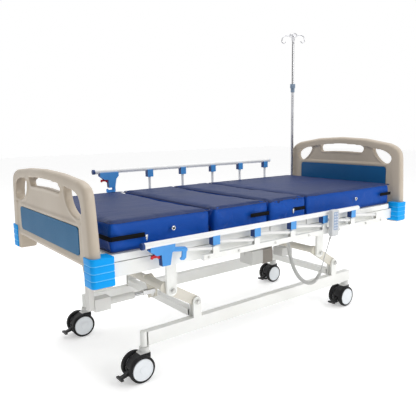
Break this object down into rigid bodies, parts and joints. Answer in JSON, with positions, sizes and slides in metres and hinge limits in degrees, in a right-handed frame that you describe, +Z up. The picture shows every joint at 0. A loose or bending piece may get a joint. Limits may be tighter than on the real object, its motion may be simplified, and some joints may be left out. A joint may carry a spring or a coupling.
{
  "type": "adjustable hospital bed",
  "caption": "Height-adjustable hospital bed with folding mattress deck, end boards, parallelogram side rails, castors, a drip pole and a cabled handset.",
  "frame": {"origin": "on the floor under the middle of the mattress", "axes": "+X to the head end, +Y to the side away from the viewer, +Z up"},
  "size_m": [2.16, 1.0661, 1.821],
  "materials": {
    "frame_white": "satin powder coat",
    "castor_grey": "satin",
    "castor_tyre": "matte",
    "pedal_black": "matte",
    "mattress_fabric": "coated fabric, soft sheen",
    "board_shell": "satin gloss",
    "board_blue": "satin",
    "bumper_blue": "satin",
    "rail_steel": "satin powder coat",
    "rail_aluminium": "white anodised",
    "clevis_blue": "satin",
    "trigger_red": "gloss",
    "pole_steel": "polished",
    "handset_shell": "satin",
    "keypad": "matte film",
    "cable_grey": "matte",
    "actuator_grey": "satin",
    "rod_steel": "ground"
  },
  "bodies": {
    "base": {"base_frame": "frame_white"},
    "bed": {"bed_frame": "frame_white", "seat_deck": "frame_white", "mattress_seat": "mattress_fabric", "mattress_fold_foam": "mattress_fabric", "footboard": "board_shell", "headboard": "board_shell", "board_panels": "board_blue", "corner_bumpers": "bumper_blue", "rail_mounts": "frame_white", "pole_lower": "pole_steel", "control_box": "actuator_grey", "actuator_bodies": "actuator_grey", "cable_coiled": "cable_grey", "cable_straight": "cable_grey"},
    "arm_foot": {"lift_arm_foot": "frame_white"},
    "arm_head": {"lift_arm_head": "frame_white"},
    "lift_rod": {"lift_rods": "rod_steel"},
    "back": {"back_deck": "frame_white", "mattress_back": "mattress_fabric"},
    "back_slider": {"back_rod": "rod_steel"},
    "thigh": {"thigh_deck": "frame_white", "mattress_thigh": "mattress_fabric"},
    "knee_slider": {"knee_rod": "rod_steel"},
    "lower_leg": {"foot_deck": "frame_white", "mattress_foot": "mattress_fabric"},
    "castor_foot_near": {"castor_housing_foot_near": "castor_grey"},
    "wheels_foot_near": {"castor_wheels_foot_near": "castor_tyre"},
    "brake_foot_near": {"castor_brake_foot_near": "pedal_black"},
    "castor_foot_far": {"castor_housing_foot_far": "castor_grey"},
    "wheels_foot_far": {"castor_wheels_foot_far": "castor_tyre"},
    "brake_foot_far": {"castor_brake_foot_far": "pedal_black"},
    "castor_head_near": {"castor_housing_head_near": "castor_grey"},
    "wheels_head_near": {"castor_wheels_head_near": "castor_tyre"},
    "brake_head_near": {"castor_brake_head_near": "pedal_black"},
    "castor_head_far": {"castor_housing_head_far": "castor_grey"},
    "wheels_head_far": {"castor_wheels_head_far": "castor_tyre"},
    "brake_head_far": {"castor_brake_head_far": "pedal_black"},
    "near_rail": {"rail_near_top_tube": "rail_aluminium", "rail_near_fittings": "clevis_blue"},
    "near_trigger": {"rail_near_trigger": "trigger_red"},
    "near_post_1": {"rail_near_post_1": "rail_steel"},
    "near_post_2": {"rail_near_post_2": "rail_steel"},
    "near_post_3": {"rail_near_post_3": "rail_steel"},
    "near_post_4": {"rail_near_post_4": "rail_steel"},
    "near_post_5": {"rail_near_post_5": "rail_steel"},
    "near_post_6": {"rail_near_post_6": "rail_steel"},
    "far_rail": {"rail_far_top_tube": "rail_aluminium", "rail_far_fittings": "clevis_blue"},
    "far_trigger": {"rail_far_trigger": "trigger_red"},
    "far_post_1": {"rail_far_post_1": "rail_steel"},
    "far_post_2": {"rail_far_post_2": "rail_steel"},
    "far_post_3": {"rail_far_post_3": "rail_steel"},
    "far_post_4": {"rail_far_post_4": "rail_steel"},
    "far_post_5": {"rail_far_post_5": "rail_steel"},
    "far_post_6": {"rail_far_post_6": "rail_steel"},
    "pole_top": {"pole_rod": "pole_steel", "pole_hooks": "pole_steel"},
    "handset": {"handset": "handset_shell", "handset_keypad": "keypad"}
  },
  "joints": [
    {"name": "lift", "type": "hinge", "parent": "base", "child": "arm_foot", "pos_m": [-0.489, 0, 0.298], "axis": [0, 1, 0], "range_deg": [-46, 46]},
    {"name": "lift_level", "type": "hinge", "parent": "arm_foot", "child": "bed", "pos_m": [-0.63395, 0, 0.38682], "axis": [0, 1, 0], "range_deg": [-46, 46]},
    {"name": "lift_head", "type": "hinge", "parent": "base", "child": "arm_head", "pos_m": [0.552, 0, 0.298], "axis": [0, 1, 0], "range_deg": [-46, 46]},
    {"name": "lift_rod_slide", "type": "slide", "parent": "bed", "child": "lift_rod", "axis": [1, 0, 0], "range_m": [-0.0435, 0.0435]},
    {"name": "backrest", "type": "hinge", "parent": "bed", "child": "back", "pos_m": [0.17, 0, 0.634], "axis": [0, -1, 0], "range_deg": [0, 70], "deforming": ["mattress_fold_foam"]},
    {"name": "back_rod_slide", "type": "slide", "parent": "bed", "child": "back_slider", "axis": [1, 0, 0], "range_m": [0, 0.165]},
    {"name": "knee_break", "type": "hinge", "parent": "bed", "child": "thigh", "pos_m": [-0.104, 0, 0.634], "axis": [0, 1, 0], "range_deg": [0, 35]},
    {"name": "knee_rod_slide", "type": "slide", "parent": "bed", "child": "knee_slider", "axis": [-1, 0, 0], "range_m": [0, 0.076]},
    {"name": "knee_fold", "type": "hinge", "parent": "thigh", "child": "lower_leg", "pos_m": [-0.463, 0, 0.605], "axis": [0, -1, 0], "range_deg": [0, 59]},
    {"name": "swivel_foot_near", "type": "hinge", "parent": "base", "child": "castor_foot_near", "pos_m": [-0.778, -0.325, 0.15], "axis": [0, 0, 1], "continuous": true},
    {"name": "roll_foot_near", "type": "hinge", "parent": "castor_foot_near", "child": "wheels_foot_near", "pos_m": [-0.813, -0.325, 0.0625], "axis": [0, 1, 0], "continuous": true},
    {"name": "pedal_foot_near", "type": "hinge", "parent": "castor_foot_near", "child": "brake_foot_near", "pos_m": [-0.851, -0.325, 0.052], "axis": [0, -1, 0], "range_deg": [0, 8]},
    {"name": "swivel_foot_far", "type": "hinge", "parent": "base", "child": "castor_foot_far", "pos_m": [-0.778, 0.325, 0.15], "axis": [0, 0, 1], "continuous": true},
    {"name": "roll_foot_far", "type": "hinge", "parent": "castor_foot_far", "child": "wheels_foot_far", "pos_m": [-0.813, 0.325, 0.0625], "axis": [0, 1, 0], "continuous": true},
    {"name": "pedal_foot_far", "type": "hinge", "parent": "castor_foot_far", "child": "brake_foot_far", "pos_m": [-0.851, 0.325, 0.052], "axis": [0, -1, 0], "range_deg": [0, 8]},
    {"name": "swivel_head_near", "type": "hinge", "parent": "base", "child": "castor_head_near", "pos_m": [0.687, -0.325, 0.15], "axis": [0, 0, 1], "continuous": true},
    {"name": "roll_head_near", "type": "hinge", "parent": "castor_head_near", "child": "wheels_head_near", "pos_m": [0.652, -0.325, 0.0625], "axis": [0, 1, 0], "continuous": true},
    {"name": "pedal_head_near", "type": "hinge", "parent": "castor_head_near", "child": "brake_head_near", "pos_m": [0.614, -0.325, 0.052], "axis": [0, -1, 0], "range_deg": [0, 8]},
    {"name": "swivel_head_far", "type": "hinge", "parent": "base", "child": "castor_head_far", "pos_m": [0.687, 0.325, 0.15], "axis": [0, 0, 1], "continuous": true},
    {"name": "roll_head_far", "type": "hinge", "parent": "castor_head_far", "child": "wheels_head_far", "pos_m": [0.652, 0.325, 0.0625], "axis": [0, 1, 0], "continuous": true},
    {"name": "pedal_head_far", "type": "hinge", "parent": "castor_head_far", "child": "brake_head_far", "pos_m": [0.614, 0.325, 0.052], "axis": [0, -1, 0], "range_deg": [0, 8]},
    {"name": "near_rail_fold", "type": "hinge", "parent": "bed", "child": "near_post_1", "pos_m": [-0.492, -0.494, 0.592], "axis": [0, 1, 0], "range_deg": [0, 82.5]},
    {"name": "near_post_2_turn", "type": "hinge", "parent": "bed", "child": "near_post_2", "pos_m": [-0.242, -0.494, 0.592], "axis": [0, 1, 0], "range_deg": [0, 82.5]},
    {"name": "near_post_3_turn", "type": "hinge", "parent": "bed", "child": "near_post_3", "pos_m": [0.008, -0.494, 0.592], "axis": [0, 1, 0], "range_deg": [0, 82.5]},
    {"name": "near_post_4_turn", "type": "hinge", "parent": "bed", "child": "near_post_4", "pos_m": [0.258, -0.494, 0.592], "axis": [0, 1, 0], "range_deg": [0, 82.5]},
    {"name": "near_post_5_turn", "type": "hinge", "parent": "bed", "child": "near_post_5", "pos_m": [0.508, -0.494, 0.592], "axis": [0, 1, 0], "range_deg": [0, 82.5]},
    {"name": "near_post_6_turn", "type": "hinge", "parent": "bed", "child": "near_post_6", "pos_m": [0.758, -0.494, 0.592], "axis": [0, 1, 0], "range_deg": [0, 82.5]},
    {"name": "near_rail_level", "type": "hinge", "parent": "near_post_1", "child": "near_rail", "pos_m": [-0.74284, -0.494, 0.62502], "axis": [0, 1, 0], "range_deg": [-82.5, 0]},
    {"name": "near_trigger_pull", "type": "hinge", "parent": "near_rail", "child": "near_trigger", "pos_m": [-0.78784, -0.494, 0.62202], "axis": [0, 1, 0], "range_deg": [0, 12], "stiffness_Nm_per_rad": 0.3, "springref_deg": -17.19},
    {"name": "far_rail_fold", "type": "hinge", "parent": "bed", "child": "far_post_1", "pos_m": [-0.492, 0.494, 0.592], "axis": [0, -1, 0], "range_deg": [0, 82.5]},
    {"name": "far_post_2_turn", "type": "hinge", "parent": "bed", "child": "far_post_2", "pos_m": [-0.242, 0.494, 0.592], "axis": [0, -1, 0], "range_deg": [0, 82.5]},
    {"name": "far_post_3_turn", "type": "hinge", "parent": "bed", "child": "far_post_3", "pos_m": [0.008, 0.494, 0.592], "axis": [0, -1, 0], "range_deg": [0, 82.5]},
    {"name": "far_post_4_turn", "type": "hinge", "parent": "bed", "child": "far_post_4", "pos_m": [0.258, 0.494, 0.592], "axis": [0, -1, 0], "range_deg": [0, 82.5]},
    {"name": "far_post_5_turn", "type": "hinge", "parent": "bed", "child": "far_post_5", "pos_m": [0.508, 0.494, 0.592], "axis": [0, -1, 0], "range_deg": [0, 82.5]},
    {"name": "far_post_6_turn", "type": "hinge", "parent": "bed", "child": "far_post_6", "pos_m": [0.758, 0.494, 0.592], "axis": [0, -1, 0], "range_deg": [0, 82.5]},
    {"name": "far_rail_level", "type": "hinge", "parent": "far_post_1", "child": "far_rail", "pos_m": [-0.492, 0.494, 0.845], "axis": [0, -1, 0], "range_deg": [-82.5, 0]},
    {"name": "far_trigger_pull", "type": "hinge", "parent": "far_rail", "child": "far_trigger", "pos_m": [-0.537, 0.494, 0.842], "axis": [0, 1, 0], "range_deg": [0, 12], "stiffness_Nm_per_rad": 0.3, "springref_deg": -17.19},
    {"name": "pole_height", "type": "slide", "parent": "bed", "child": "pole_top", "axis": [0, 0, -1], "range_m": [0, 0.3]},
    {"name": "handset_lift_off", "type": "slide", "parent": "bed", "child": "handset", "axis": [0, 0, 1], "range_m": [0, 0.02]}
  ],
  "couplings": [
    {"joint": "lift_level", "follows": "lift", "ratio": -1},
    {"joint": "lift_head", "follows": "lift", "ratio": 1},
    {"joint": "lift_rod_slide", "follows": "lift", "m_per_rad": -0.054},
    {"joint": "back_rod_slide", "follows": "backrest", "m_per_rad": 0.13098},
    {"joint": "knee_rod_slide", "follows": "knee_break", "m_per_rad": 0.12036},
    {"joint": "knee_fold", "follows": "knee_break", "ratio": 1.66},
    {"joint": "near_post_2_turn", "follows": "near_rail_fold", "ratio": 1},
    {"joint": "near_post_3_turn", "follows": "near_rail_fold", "ratio": 1},
    {"joint": "near_post_4_turn", "follows": "near_rail_fold", "ratio": 1},
    {"joint": "near_post_5_turn", "follows": "near_rail_fold", "ratio": 1},
    {"joint": "near_post_6_turn", "follows": "near_rail_fold", "ratio": 1},
    {"joint": "near_rail_level", "follows": "near_rail_fold", "ratio": -1},
    {"joint": "far_post_2_turn", "follows": "far_rail_fold", "ratio": 1},
    {"joint": "far_post_3_turn", "follows": "far_rail_fold", "ratio": 1},
    {"joint": "far_post_4_turn", "follows": "far_rail_fold", "ratio": 1},
    {"joint": "far_post_5_turn", "follows": "far_rail_fold", "ratio": 1},
    {"joint": "far_post_6_turn", "follows": "far_rail_fold", "ratio": 1},
    {"joint": "far_rail_level", "follows": "far_rail_fold", "ratio": -1}
  ]
}
